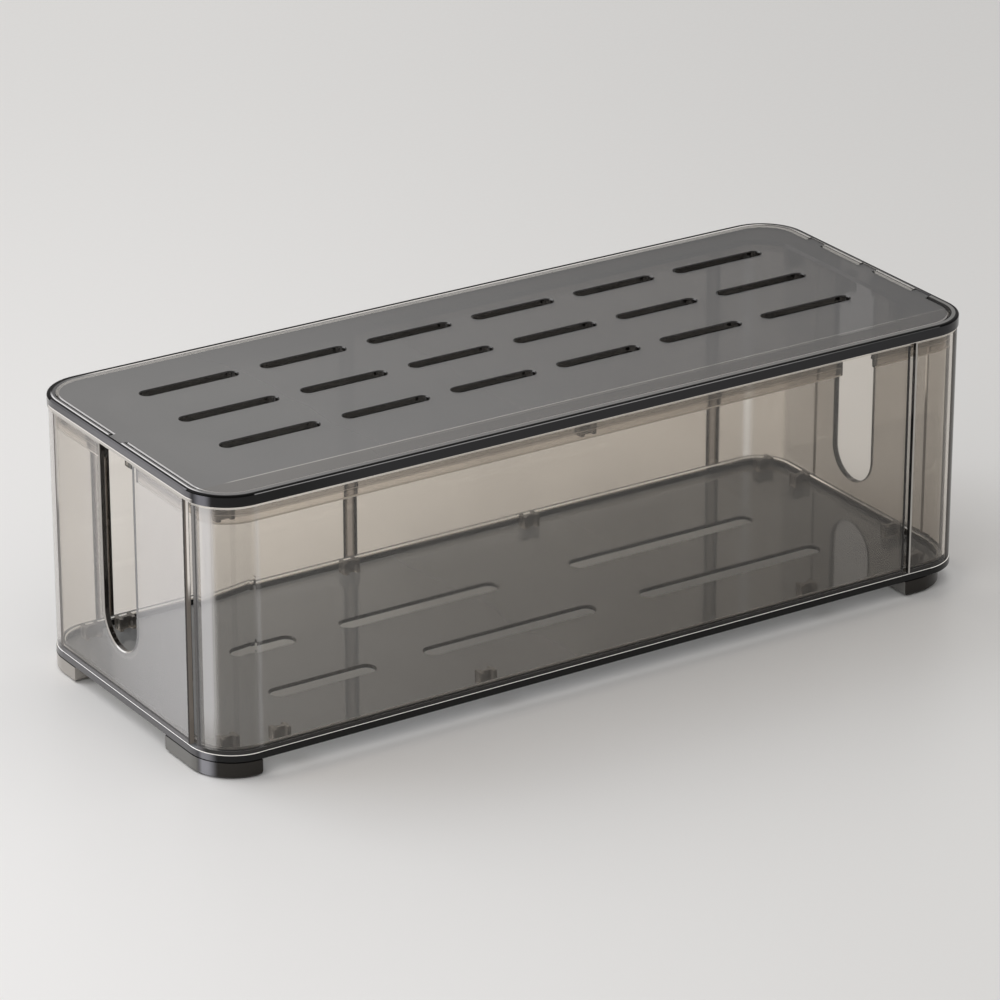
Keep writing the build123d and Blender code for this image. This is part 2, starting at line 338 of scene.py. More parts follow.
@dataclass(frozen=True)
class WallPlastic(SmokedPlastic):
    """The wall panels: painted light in the turned corner, a painted pale head and dark foot.

    Attributes:
        slant_shade: Share of the tint that is left in the right end, which the eye meets at a
        slant: a painted darkening.
        left_haze: Share of the left end's light that its sheet scatters.
        notch: The left notch's middle, the level of its round end's centre, and its radius.
        shaded_stretches: Painted shade in stretches of the corner, with the share of tint left in
            each.
        window: The stretch of the turned corner painted with the window's reflection.
        start: The corner's first stretch past the slit, with painted shade for the sheet's dark
            end.
        foot: Height below which the wall's front is painted dark, a painted shade at the tray's
            ledge.
        left_foot: The same at the left end.
        head: Height above which the wall is painted pale, a painted highlight under the lid's
            band.
    """

    slant_shade: float = 0.68
    left_haze: float = 0.3
    notch: Triple = (2.5, 47.0, 14.5)
    shaded_stretches: tuple[tuple[Angles, float], ...] = (
        ((0, 2, 21.5, 23), 0.55), ((40, 47, 84, 88), 0.84), ((60, 62, 66, 69), 0.92))
    window: Angles = (23.5, 26, 34, 47)
    start: Angles = (0, 2, 18.5, 20.5)
    foot: float = 12.9
    left_foot: float = 14.0
    head: float = 123.8

    def notch_reach(self, graph: Layers) -> Socket:
        """How far outside the left notch the shaded point lies, in metres."""
        middle, level, radius = self.notch
        aside = graph.math("SUBTRACT", graph.y, middle * MM)
        below = graph.math("MINIMUM", graph.math("SUBTRACT", graph.z, level * MM), 0.0)
        return graph.math("SUBTRACT", graph.length(aside, below), radius * MM)

    def tint_sheet(self, graph: Layers, behind: Socket) -> None:
        """Varies the tint itself: painted shade at the right end and in the corner, a darker back
        part of the left end, and a painted highlight at the back right corner.
        """
        normal = graph.add("NewGeometry").outputs["Normal"]
        squarely = graph.ramp(graph.size(graph.part(normal, 0)), 0.9, 1.0)
        at_right = graph.times(squarely, graph.rise(graph.x, 170.0, 190.0))
        # Painted shade: the right end, which the eye meets at a slant, is darkened.
        graph.dim(at_right, self.slant_shade)
        graph.dim(behind, 0.76)
        # Painted shade: darker stretches of the turned corner.
        for angles, share in self.shaded_stretches:
            graph.dim(graph.turn(angles), share)
        # Painted highlight: a white upright line at the back right corner.
        rear_highlight = graph.times(graph.line(graph.x, 183.2, 2.8), graph.rise(graph.y, 70.0, 73.0))
        graph.paint(rear_highlight, "#ffffff")

    def haze_left_end(self, graph: Layers, at_left: Socket, behind: Socket) -> None:
        """Scatters light in the left end's sheet, and paints a highlight line round its notch."""
        graph.paint(at_left, "#e9e8ea")
        haze = graph.rise(graph.y, -56.0, 50.0, 1 - self.left_haze, 1 - self.left_haze / 3)
        graph.inputs["Transmission Weight"] = graph.where(at_left, haze)
        graph.paint(behind, "#d2cfcc")
        # Painted highlight: a pale line round the left notch.
        notch_highlight = graph.line(self.notch_reach(graph), 2.7, 0.7)
        graph.paint(graph.times(at_left, notch_highlight), "#fdfcfb")

    def light_corner(self, graph: Layers) -> None:
        """Paints the window's reflection, shade at the start and a highlight where the turn ends.
        """
        # Painted reflection of the window in the turned corner, weaker near the tray.
        fading = graph.rise(graph.z, 10.0, 34.0, 0.5, 1.0)
        corner_highlight = graph.times(graph.turn(self.window), fading)
        graph.paint(corner_highlight, "#fcfbfc")
        graph.cloud(corner_highlight, 0.6)
        # Painted shade where the sheet's dark end shows at the start of the turn.
        graph.dim(graph.turn(self.start), 0.3)
        # Painted highlight: a pale line where the turn ends.
        tangent_highlight = graph.times(graph.line(graph.x, -176.6, 1.3), graph.rise(graph.y, -70.0, -74.0))
        graph.paint(tangent_highlight, "#efedeb")
        graph.cloud(tangent_highlight, 0.92)

    def line_right_end(self, graph: Layers) -> None:
        """Paints shade on the right end's outline, where the eye looks along the sheet."""
        # Painted shade: a dark outline where the eye looks along the right end's sheet.
        edge = graph.add("LayerWeight", {"Blend": 0.5}).outputs["Facing"]
        outline = graph.times(graph.ramp(edge, 0.59, 0.64), graph.rise(graph.x, 170.0, 180.0))
        graph.inputs["Specular IOR Level"] = graph.between(outline, 0.5, 0.05)
        graph.paint(outline, "#3d3935")
        graph.cloud(outline, 0.15)

    def line_head_and_foot(self, graph: Layers, at_left: Socket) -> None:
        """Paints a highlight at the pale head and shade at the dark foot."""
        # Painted highlight: the wall's head is pale under the lid's band.
        head = graph.step(graph.z, self.head)
        rightward = graph.rise(graph.x, -150.0, -60.0)
        front_head = graph.blend(rightward, "#fbf6ee", "#d4cdc3")
        graph.paint(head, graph.blend(at_left, front_head, "#c2bdb7"))
        graph.cloud(head, 0.4)
        # Painted shade: the wall's foot is dark where it meets the tray's ledge.
        near = graph.rise(graph.along((0.25, 1.0, 0.0)), 30.0, -5.0)
        foot = graph.times(near, graph.step(graph.z, self.foot, -0.1))
        graph.paint(foot, "#1f1d1b")
        graph.cloud(foot, 0.1)
        left_foot = graph.times(at_left, graph.step(graph.z, self.left_foot, -0.1))
        graph.paint(left_foot, "#6b696b")

    def detail(self, graph: Layers) -> None:
        """Adds the ends and the painted light and shade of the turned corner, outline, head and
        foot.
        """
        at_left = graph.rise(graph.x, -199.0, -196.8, 1.0, 0.0)
        behind = graph.times(at_left, graph.rise(graph.y, -10.0, 45.0))
        self.tint_sheet(graph, behind)
        self.haze_left_end(graph, at_left, behind)
        self.light_corner(graph)
        self.line_right_end(graph)
        self.line_head_and_foot(graph, at_left)


@dataclass(frozen=True)
class LipPlastic(SmokedPlastic):
    """The lid's lip, with its thicker and darker root.

    Attributes:
        root_level: Height above which the root begins.
    """

    root_level: float = 119.5

    def detail(self, graph: Layers) -> None:
        """Darkens the root."""
        graph.dim(graph.step(graph.z, self.root_level), 0.53)


@dataclass(frozen=True)
class StripPlastic(SmokedPlastic):
    """A narrow strip whose upright edges show as dark lines."""

    def detail(self, graph: Layers) -> None:
        """Darkens the two edges."""
        across = graph.part(graph.add("TexCoord").outputs["Generated"], 0)
        from_middle = graph.size(graph.math("SUBTRACT", across, 0.5))
        graph.paint(graph.ramp(from_middle, 0.24, 0.34), "#5e554c")


@dataclass(frozen=True)
class VentedPlastic(SmokedPlastic):
    """The lid's panel, through which the front ledge shows as a warmer strip, its edge a painted
    highlight.

    Attributes:
        ledge_edge: The inner edge of the front ledge, across the box.
    """

    ledge_edge: float = -62.0

    def detail(self, graph: Layers) -> None:
        """Adds the strip and the painted highlight on its edge."""
        strip = graph.step(graph.y, self.ledge_edge, -0.2)
        graph.colour = graph.blend(strip, graph.colour, "#fdfaf6", "MULTIPLY")
        # Painted highlight: a pale line along the ledge's edge.
        line = graph.line(graph.y, self.ledge_edge, 0.6)
        graph.paint(graph.times(line, graph.rise(graph.x, -184.0, -178.0)), "#b5b1ac")


@dataclass(frozen=True)
class RimPlastic(SmokedPlastic):
    """The flat top of the lid's rim, with dark lines and painted highlight lines.

    Attributes:
        outer: How far the black outer line reaches inwards.
        back: Where the wider black line at the back sets in, from gone to full.
        inner: How far inside the black inner line begins at the ends.
        pale: Middle and half width of the pale painted highlight line at the back and the right
            end.
        white: Middle and half width of the white painted highlight line at the left end.
    """

    outer: float = 1.7
    back: tuple[float, float] = (2.7, 2.4)
    inner: float = 3.4
    pale: tuple[float, float] = (2.9, 0.7)
    white: tuple[float, float] = (2.15, 0.5)

    def detail(self, graph: Layers) -> None:
        """Adds the dark lines and the painted highlights by how far they lie inside the outline.
        """
        depth = graph.inset()
        clear_of_corners = graph.times(
            graph.rise(graph.y, -68.0, -60.0), graph.rise(graph.y, 68.0, 60.0))
        at_left = graph.times(graph.rise(graph.x, -186.0, -193.0), clear_of_corners)
        at_back = graph.patch((-178.0, -166.0), (66.0, 72.0))
        at_right = graph.patch((186.0, 192.0), (-50.0, -30.0))
        ends = graph.larger(at_left, graph.rise(graph.x, 180.0, 186.0))
        wide = graph.times(graph.rise(graph.y, 62.0, 70.0), graph.rise(depth, *self.back))
        outer = graph.larger(graph.step(depth, self.outer, -0.1), wide)
        dark = graph.larger(outer, graph.times(ends, graph.step(depth, self.inner)))
        graph.paint(graph.patch((-178.0, -188.0), (56.0, 64.0)), "#3f3e3e")
        graph.paint(dark, "#0d0c0c")
        # Painted highlights: pale lines at the back and the right end, a white one at the left.
        graph.paint(
            graph.times(graph.larger(at_back, at_right), graph.line(depth, *self.pale)), "#dedad5")
        graph.paint(graph.times(at_left, graph.line(depth, *self.white)), "#f0eeef")
        # The black lines stay black only where the room doesn't mirror in them.
        graph.inputs["Specular IOR Level"] = graph.between(dark, 0.5, 0.04)
        graph.inputs["Transmission Weight"] = graph.between(at_right, *self.clarity)
        graph.cloud(dark, 0.1)


@dataclass(frozen=True)
class EdgePlastic:
    """The same polystyrene where the eye looks along the sheet and the smoke adds up.

    Attributes:
        name: The material's name, without the plastic's own.
        front: Colour of edges that face the long sides.
        end: Colour of edges that face the left end: painted light, paler than the front.
        painted_emission: Strength of the painted emission that stands in for light the sheet pipes
            out here.
        roughness: Mean surface roughness.
        shine: Specular level; 0.5 is the plastic's own, and a shaded groove has less.
    """

    name: str
    front: str
    end: str
    painted_emission: float = 0.0
    roughness: float = 0.12
    shine: float = 0.5

    def at_left(self, graph: Graph) -> Socket:
        """The part that faces the left end squarely, from 0 to 1."""
        return graph.ramp(graph.leftward(), 0.95, 0.985)

    def detail(self, graph: Layers) -> None:
        """Adds what one kind of edge shows beyond its plain tone.

        Args:
            graph: The edge's tone and inputs, which a kind may lay more over.
        """

    def build(self) -> bpy.types.Material:
        """Makes the material.

        Returns:
            A material with one opaque Principled shader.
        """
        material = bpy.data.materials.new(self.name + "_polystyrene")
        graph = Layers(material)
        # Painted light: faces towards the left end take the paler end colour.
        graph.colour = graph.blend(self.at_left(graph), self.front, self.end)
        graph.inputs["Roughness"] = graph.waver(
            graph.noise(8.0, 4.0), self.roughness * 0.7, self.roughness * 1.4)
        self.detail(graph)
        # The emission is painted light: these edges are no lamps.
        body = graph.add(
            "BsdfPrincipled",
            {"IOR": STYRENE_IOR, "Emission Strength": self.painted_emission,
             "Specular IOR Level": self.shine},
            {"Base Color": graph.colour, "Emission Color": graph.colour, **graph.inputs})
        graph.add("OutputMaterial", {}, {0: body.outputs[0]})
        return material


@dataclass(frozen=True)
class BandPlastic(EdgePlastic):
    """A glossy band round the outline: dark in front, with painted light to the left and at the
    corner.

    Attributes:
        corner_highlight: Colour of the turned corner's painted highlight.
        corner_highlight_angles: The turn that it takes up, as for Graph.turn.
        rear_clarity: Share of the light that passes at the back and the right end, where
            the eye looks out through the rim.
        painted_leak_level: Height below which the left end is painted pale, a painted light line.
        lit_front: Colour of the long front past the turned corner, painted lighter as if lit.
        far_shade: Share of the left end's colour that is left at the back.
    """

    corner_highlight: str = "#8e8e93"
    corner_highlight_angles: Angles = (12, 22, 27, 42)
    rear_clarity: float = 0.0
    painted_leak_level: float = 0.0
    lit_front: str = ""
    far_shade: float = 1.0

    def detail(self, graph: Layers) -> None:
        """Adds the painted highlight, the painted pale line at the left end and the clear far
        side.
        """
        at_left = self.at_left(graph)
        # Painted light: the long front past the corner is lighter.
        if self.lit_front:
            past = graph.times(
                graph.rise(graph.x, -165.0, -115.0), graph.math("SUBTRACT", 1.0, at_left))
            graph.paint(past, self.lit_front)
        shade = graph.rise(graph.y, 0.0, 60.0, 1.0, self.far_shade)
        graph.colour = graph.scaled(graph.colour, graph.where(at_left, shade))
        # Painted light: a pale line at the foot of the band's left end.
        if self.painted_leak_level:
            painted_leak = graph.times(at_left, graph.step(graph.z, self.painted_leak_level, -0.05))
            edge = graph.step(graph.z, self.painted_leak_level - 0.45, 0.05)
            graph.paint(painted_leak, graph.blend(edge, "#bfbab4", "#efebe6"))
        # Painted highlight at the turned corner.
        graph.paint(graph.turn(self.corner_highlight_angles), self.corner_highlight)
        graph.inputs["Specular IOR Level"] = graph.rise(graph.y, -57.0, -60.0, 0.5, 0.28)
        if self.rear_clarity:
            rearward = graph.rise(graph.along((0.25, 1.0, 0.0)), 8.0, 22.0)
            graph.inputs["Base Color"] = graph.blend(rearward, graph.colour, "#b4b2af")
            graph.inputs["Transmission Weight"] = graph.between(
                rearward, 0.0, self.rear_clarity)


@dataclass(frozen=True)
class FootPlastic(BandPlastic):
    """The feet: like the band, with painted light at the back left, where light comes through."""

    def detail(self, graph: Layers) -> None:
        """Adds the painted light on the back left foot to the band's own detail."""
        super().detail(graph)
        # Painted light: the back left foot is paler.
        graph.paint(graph.patch((-140.0, -150.0), (10.0, 20.0)), "#a39e98")


@dataclass(frozen=True)
class LipLine(EdgePlastic):
    """The top edge of the tray's lip, with painted light and emission only on the far side."""

    def detail(self, graph: Layers) -> None:
        """Keeps the near side dull and paints the far side pale and bright."""
        # Painted light: the far side of the lip's edge is pale and emits.
        rearward = graph.rise(graph.along((0.1, 1.0, 0.0)), 20.0, 50.0)
        graph.inputs["Emission Strength"] = graph.between(rearward, 0.0, self.painted_emission)
        graph.paint(rearward, "#e6e2dc")


@dataclass(frozen=True)
class SlitEnd(EdgePlastic):
    """The end of a panel at a slit, painted with the light it pipes, less of it beside the tray.
    """

    def detail(self, graph: Layers) -> None:
        """Paints the high inner part paler, as painted light."""
        # Painted light: the high inner part of the slit end is paler.
        lit_upper = graph.rise(graph.z, 76.0, 88.0)
        inner = graph.step(graph.size(graph.x), 198.1, -0.2)
        graph.paint(graph.times(lit_upper, inner), "#cfcac4")


@dataclass(frozen=True)
class RimLine(EdgePlastic):
    """The eased top edge of the rim, a painted highlight line that fades towards the right in
    front.
    """

    def detail(self, graph: Layers) -> None:
        """Dims the painted highlight on the right part of the front."""
        # Painted shade over the highlight line on the right part of the front.
        graph.paint(graph.patch((60.0, 150.0), (0.0, -20.0)), "#3a3a3a")


@dataclass(frozen=True)
class FloorPaint:
    """Satin paint on the studio floor, with painted light: brighter towards the left foreground.

    Attributes:
        name: The material's name.
        rightward: Direction across the view, along the floor.
        away: Direction away from the eye, along the floor.
    """

    name: str = "satin_floor_paint"
    rightward: Triple = (0.8404, -0.5419, 0.0)
    away: Triple = (0.5419, 0.8404, 0.0)

    def build(self) -> bpy.types.Material:
        """Makes the material."""
        material = bpy.data.materials.new(self.name)
        graph = Graph(material)
        # Painted light: the floor's tone brightens towards the left foreground.
        far = graph.rise(graph.along(self.away), -300.0, 900.0)
        right = graph.rise(graph.along(self.rightward), -250.0, 300.0)
        near_painted_light = graph.blend(right, "#eeedec", "#dddcda")
        far_painted_light = graph.blend(right, "#d9d8d6", "#d2d1cf")
        links = {
            "Base Color": graph.blend(far, near_painted_light, far_painted_light),
            "Roughness": graph.waver(graph.noise(3.0, 2.0), 0.34, 0.4)}
        body = graph.add("BsdfPrincipled", {"IOR": 1.4}, links)
        graph.add("OutputMaterial", {}, {0: body.outputs[0]})
        return material


# ---- sorting faces

LEVEL = 0.97    # Upward cosine from which a face is level.
SQUARE = 0.9    # Cosine from which a face looks along an axis.
UPRIGHT = 0.15  # Upward cosine up to which a face is upright.
NEAR = 0.12     # How near to a surface's own inset a face's middle has to lie.


class Zone(Enum):
    """What a face is on the moulding."""

    FACE = 0
    CUT = 1
    EASED = 2
    BAND = 3
    LIP = 4
    SEAT = 5
    RIM = 6


def inset_of(point: Vector) -> float:
    """How far inside the box's rounded plan outline a point lies.

    Args:
        point: A point in metres.

    Returns:
        The distance in millimetres.
    """
    across = abs(point.x) / MM - (HALF_LENGTH - CORNER_RADIUS)
    along = abs(point.y) / MM - (HALF_DEPTH - CORNER_RADIUS)
    outside = math.hypot(max(across, 0.0), max(along, 0.0))
    return CORNER_RADIUS - outside - min(max(across, along), 0.0)


@dataclass
class Moulding:
    """A group of CAD nodes that share their finishes.

    Attributes:
        nodes: Names of the CAD nodes.
        finishes: The material for each zone.
    """

    nodes: tuple[str, ...]
    finishes: dict[Zone, bpy.types.Material]

    def zone(self, normal: Vector, centre: Vector) -> Zone:
        """Sorts one face.

        Args:
            normal: The face's outward direction.
            centre: The face's middle, in metres.

        Returns:
            What the face is on the moulding.
        """
        return Zone.FACE

    def dress(self) -> None:
        """Gives every face of every node its finish."""
        for name in self.nodes:
            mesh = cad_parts[name].data
            mesh.materials.clear()
            for zone in Zone:
                mesh.materials.append(self.finishes[zone])
            for face in mesh.polygons:
                face.material_index = self.zone(face.normal, face.center).value
        log.info("%s: %d nodes", type(self).__name__, len(self.nodes))


@dataclass
class Tray(Moulding):
    """The slotted tray: see-through floor, dark outer band, eased edges painted pale as
    highlights.

    Attributes:
        ledge: Level of the ledge, above which only the lip rises.
        skin: Inset up to which a face belongs to the outer band.
        rebate: Inset up to which it does below the band's step.
        step: Level of that step.
        lip: Insets between which the lip's upright faces lie.
        eased: Upward cosine from which the outer edge takes the pale painted highlight.
    """

    ledge: float = 12.4
    skin: float = 0.4
    rebate: float = 1.2
    step: float = 7.0
    lip: tuple[float, float] = (3.5, 6.4)
    eased: float = 0.35

    def zone(self, normal: Vector, centre: Vector) -> Zone:
        """Sorts one face of the tray."""
        inset = inset_of(centre)
        level = centre.z / MM
        upright = abs(normal.z) < UPRIGHT
        if level > self.ledge:
            return Zone.LIP if upright or normal.z > LEVEL else Zone.SEAT
        if inset < self.skin or (inset < self.rebate and level < self.step):
            return Zone.BAND
        if self.lip[0] < inset < self.lip[1] and upright:
            return Zone.LIP
        if abs(normal.z) > LEVEL:
            return Zone.FACE
        if inset < self.rebate:
            return Zone.EASED if normal.z > self.eased else Zone.BAND
        return Zone.CUT


class Feet(Moulding):
    """The corner feet under the tray."""

    def zone(self, normal: Vector, centre: Vector) -> Zone:
        """Sorts one face of a foot."""
        return Zone.BAND if abs(normal.z) < LEVEL else Zone.CUT


@dataclass
class Walls(Moulding):
    """The upright panels, clear on their faces and dark where they end.

    Attributes:
        faces: Insets of the outer and the inner face.
        notch_from: Distance from the middle, along the box, past which notches lie.
        notch_reach: The same across the box, up to which they lie.
        eased: Inset up to which an edge is the outer one.
    """

    faces: tuple[float, float] = (0.6, 3.6)
    notch_from: float = 195.0
    notch_reach: float = 26.0
    eased: float = 1.2

    def zone(self, normal: Vector, centre: Vector) -> Zone:
        """Sorts one face of a wall panel."""
        inset = inset_of(centre)
        on_face = min(abs(inset - face) for face in self.faces) < NEAR and abs(normal.z) < 0.1
        if abs(normal.z) > LEVEL or on_face:
            return Zone.FACE
        past = abs(centre.x) / MM > self.notch_from
        if past and abs(centre.y) / MM < self.notch_reach:
            return Zone.SEAT if inset < self.eased else Zone.BAND
        if max(abs(normal.x), abs(normal.y)) < SQUARE:
            faces_slit = normal.x < 0 and normal.y < 0 and centre.x > 0
            return Zone.SEAT if faces_slit and inset < self.eased else Zone.EASED
        return Zone.CUT if abs(normal.x) > SQUARE else Zone.LIP


class Seams(Moulding):
    """The strips that close the slits of the back wall."""

    def zone(self, normal: Vector, centre: Vector) -> Zone:
        """Sorts one face of a strip."""
        return Zone.FACE if abs(normal.y) > SQUARE else Zone.CUT


@dataclass
class LidFrame(Moulding):
    """The lid's rim and its hidden ledge.

    Attributes:
        ledge: Inset past which the ledge begins.
        inner: Inset past which a face is the rim's inner side.
        edge: Inset up to which a face is part of the rounded top edge.
        edge_level: Level above which it is.
        under: Level below which a face that looks down is the rim's underside.
        band_end: Where, along and across the box, the top edge is as bright as the band.
        lit: Places along the box between which the top edge shows a painted highlight line in
            front.
        limits: Upward cosine up to which the pale line reaches, in front and at the back.
    """

    ledge: float = 4.6
    inner: float = 3.5
    edge: float = 1.0
    edge_level: float = 129.0
    under: float = 125.2
    band_end: Point = (-190.0, 60.0)
    lit: tuple[float, float] = (-172.0, 150.0)
    limits: tuple[float, float] = (0.7, 0.85)

    def edge_zone(self, normal: Vector, centre: Vector) -> Zone:
        """Sorts one face of the rounded top edge."""
        x, y = centre.x / MM, centre.y / MM
        if normal.z < 0.3 or (x < self.band_end[0] and abs(y) < self.band_end[1]):
            return Zone.BAND
        lit = x > self.lit[0] and (y > 0.0 or x < self.lit[1])
        limit = self.limits[0] if y < 0.0 else self.limits[1]
        return Zone.EASED if normal.z < limit and lit else Zone.CUT

    def zone(self, normal: Vector, centre: Vector) -> Zone:
        """Sorts one face of the lid frame."""
        inset = inset_of(centre)
        level = centre.z / MM
        if inset > self.ledge:
            return Zone.FACE if abs(normal.z) > SQUARE else Zone.EASED
        if level > self.edge_level and inset < self.edge and normal.z < LEVEL:
            return self.edge_zone(normal, centre)
        if normal.z > SQUARE:
            return Zone.RIM
        if inset > self.inner:
            return Zone.LIP
        if level < self.under and normal.z < -UPRIGHT:
            return Zone.SEAT
        return Zone.BAND


@dataclass
class LidPanel(Moulding):
    """The vented panel.

    Attributes:
        edge: Inset up to which an eased edge is the panel's outer one.
    """

    edge: float = 6.0

    def zone(self, normal: Vector, centre: Vector) -> Zone:
        """Sorts one face of the lid panel."""
        if abs(normal.z) > LEVEL:
            return Zone.FACE
        at_edge = inset_of(centre) < self.edge
        return Zone.EASED if normal.z > UPRIGHT and at_edge else Zone.CUT


@dataclass
class Lips(Moulding):
    """The strips that locate the lid inside the walls.

    Attributes:
        faces: Insets of the outer face and of the two inner ones.
    """

    faces: Triple = (3.9, 6.1, 7.1)

    def zone(self, normal: Vector, centre: Vector) -> Zone:
        """Sorts one face of a lip."""
        if normal.z < -UPRIGHT:
            return Zone.EASED
        inset = inset_of(centre)
        on_face = min(abs(inset - face) for face in self.faces) < NEAR
        return Zone.FACE if abs(normal.z) > SQUARE or on_face else Zone.CUT


class Posts(Moulding):
    """The H-shaped socket posts."""

    def zone(self, normal: Vector, centre: Vector) -> Zone:
        """Sorts one face of a post."""
        if abs(normal.z) > SQUARE:
            return Zone.SEAT
        return Zone.LIP if abs(normal.x) > SQUARE else Zone.FACE


# ---- the trim

@dataclass(frozen=True)
class SlotShadeRibs:
    """The low dark ribs under the lid panel at the far edge of each vent slot: painted shade in
    the slots.

    Attributes:
        top: The panel's underside.
        drop: How far the ribs reach below it.
        thickness: The ribs' thickness.
        width: The slots' width.
        first: Where the first slot of a row starts.
        length: Length of the inner slots.
        extra: How much longer the outermost slots are.
        gap: The gap between slots in a row.
        rows: Middle of each row, across the box.
        number: Slots in a row.
        arc: Angle of one step round a slot's right end, in degrees.
        arc_steps: Steps that a rib goes round it.
    """

    top: float = 126.7
    drop: float = 1.3
    thickness: float = 0.4
    width: float = 6.5
    first: float = -163.7
    length: float = 42.917
    extra: float = 5.5
    gap: float = 12.3
    rows: tuple[float, ...] = (-25.9, 9.0, 43.9)
    number: int = 6
    arc: float = 11.25
    arc_steps: int = 12

    def spans(self) -> list[Point]:
        """The two ends of each slot in a row."""
        spans = []
        left = self.first
        for number in range(self.number):
            outermost = number in (0, self.number - 1)
            right = left + self.length + (self.extra if outermost else 0.0)
            spans.append((left, right))
            left = right + self.gap
        return spans

    def path(self, left: float, right: float, row: float, offset: float) -> list[Point]:
        """The far edge and right end of a slot, moved outwards by an offset."""
        radius = self.width / 2
        reach = radius + offset
        points = [(left + radius, row + reach)]
        for step in range(self.arc_steps + 1):
            angle = math.radians(90 - self.arc * step)
            points.append((
                right - radius + reach * math.cos(angle), row + reach * math.sin(angle)))
        return points

    def build(self, finish: bpy.types.Material) -> None:
        """Makes the ribs in one mesh that moves with the lid.

        Args:
            finish: The ribs' material.
        """
        vertices: list[Triple] = []
        faces: list[tuple[int, ...]] = []
        for row in self.rows:
            for left, right in self.spans():
                start = len(vertices)
                pairs = list(zip(
                    self.path(left, right, row, 0.0), self.path(left, right, row, self.thickness)))
                for inner, outer in pairs:
                    for x, y in (inner, outer):
                        for z in (self.top, self.top - self.drop):
                            vertices.append((x * MM, y * MM, z * MM))
                for step in range(len(pairs) - 1):
                    here, there = start + 4 * step, start + 4 * step + 4
                    for a, b in ((0, 1), (1, 3), (3, 2), (2, 0)):
                        faces.append((here + a, here + b, there + b, there + a))
                last = start + 4 * (len(pairs) - 1)
                faces.append((start, start + 2, start + 3, start + 1))
                faces.append((last, last + 1, last + 3, last + 2))
        mesh = bpy.data.meshes.new("slot_shade_ribs")
        mesh.from_pydata(vertices, [], faces)
        mesh.materials.append(finish)
        mesh.validate()
        skirts = bpy.data.objects.new("slot_shade_ribs", mesh)
        bpy.context.scene.collection.objects.link(skirts)
        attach(skirts, "lid")
        log.info("slot skirts: %d faces", len(faces))


# ---- the studio

def set_up(data: bpy.types.ID, place: Vector, direction: Vector) -> bpy.types.Object:
    """Adds a lamp or a camera to the scene.

    Args:
        data: The lamp's or the camera's own data, whose name the object takes.
        place: Where it stands, in metres.
        direction: Where it looks.

    Returns:
        The new object.
    """
    added = bpy.data.objects.new(data.name, data)
    bpy.context.scene.collection.objects.link(added)
    added.location = place
    added.rotation_mode = "QUATERNION"
    added.rotation_quaternion = direction.to_track_quat("-Z", "Y")
    return added


@dataclass(frozen=True)
class Softbox:
    """A square area lamp.

    Attributes:
        name: The lamp's name.
        place: Its middle, in metres.
        aim: The point it shines at, in metres.
        size: Its side, in metres.
        power: Its power in watts.
    """

    name: str
    place: Triple
    aim: Triple
    size: float
    power: float

    def build(self) -> None:
        """Makes the lamp."""
        data = bpy.data.lights.new(self.name, "AREA")
        data.size = self.size
        data.energy = self.power
        place = Vector(self.place)
        set_up(data, place, Vector(self.aim) - place)


@dataclass(frozen=True)
class Studio:
    """The pale floor, the even surround and the softboxes.

    Attributes:
        floor_size: Side of the floor, in metres.
        surround: Colour of the surround near the horizon.
        overhead: Colour of the surround straight up.
        strength: Brightness of the surround.
        lamps: The softboxes.
    """

    floor_size: float = 30.0
    surround: str = "#d4d3d2"
    overhead: str = "#efeeee"
    strength: float = 0.85
    lamps: tuple[Softbox, ...] = (
        Softbox("key", (-1.3, 1.5, 2.4), (0.0, 0.0, 0.0), 1.8, 36.0),
        Softbox("left_fill", (-2.6, -0.6, 1.2), (0.0, 0.0, 0.0), 1.6, 8.0),
    )

    def build(self) -> None:
        """Makes the floor, the surround and the lamps."""
        bpy.ops.mesh.primitive_plane_add(size=self.floor_size, location=(0.0, 0.0, -0.0002))
        floor = bpy.context.object
        floor.name = "floor"
        floor.data.materials.append(FloorPaint().build())
        world = bpy.data.worlds.new("surround")
        graph = Graph(world)
        height = graph.part(graph.add("TexCoord").outputs["Generated"], 2)
        tone = graph.blend(
            graph.ramp(height, 0.0, 0.9), self.surround, self.overhead)
        light = graph.add("Background", {"Strength": self.strength}, {"Color": tone})
        graph.add("OutputWorld", {}, {0: light.outputs[0]})
        bpy.context.scene.world = world
        for lamp in self.lamps:
            lamp.build()


@dataclass(frozen=True)
class LongLens:
    """The camera: a long lens a little above the box.

    Attributes:
        azimuth: Direction it stands in, in degrees from the front.
        elevation: Its angle above the level, in degrees.
        aim: The point in the middle of its picture.
        distance: How far it stands from that point.
        lens: Focal length on a 36 mm sensor.
    """

    azimuth: float = -32.8147
    elevation: float = 23.0486
    aim: Triple = (6.84, 20.37, 48.95)
    distance: float = 2272.727
    lens: float = 180.27

    def build(self) -> None:
        """Makes the camera and gives it to the scene."""
        turn = math.radians(self.azimuth)
        rise = math.radians(self.elevation)
        back = Vector((
            math.sin(turn) * math.cos(rise), -math.cos(turn) * math.cos(rise), math.sin(rise)))
        data = bpy.data.cameras.new("long_lens")
        data.sensor_width = 36.0
        data.lens = self.lens
        data.clip_end = 60.0
        place = (Vector(self.aim) + back * self.distance) * MM
        bpy.context.scene.camera = set_up(data, place, -back)


def nodes_named(starts: Iterable[str], but_not: Iterable[str] = ()) -> tuple[str, ...]:
    """The CAD nodes whose names start in one of some ways and in none of some others."""
    return tuple(
        name for name in sorted(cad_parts)
        if name.startswith(tuple(starts)) and not name.startswith(tuple(but_not) or ("\0",)))


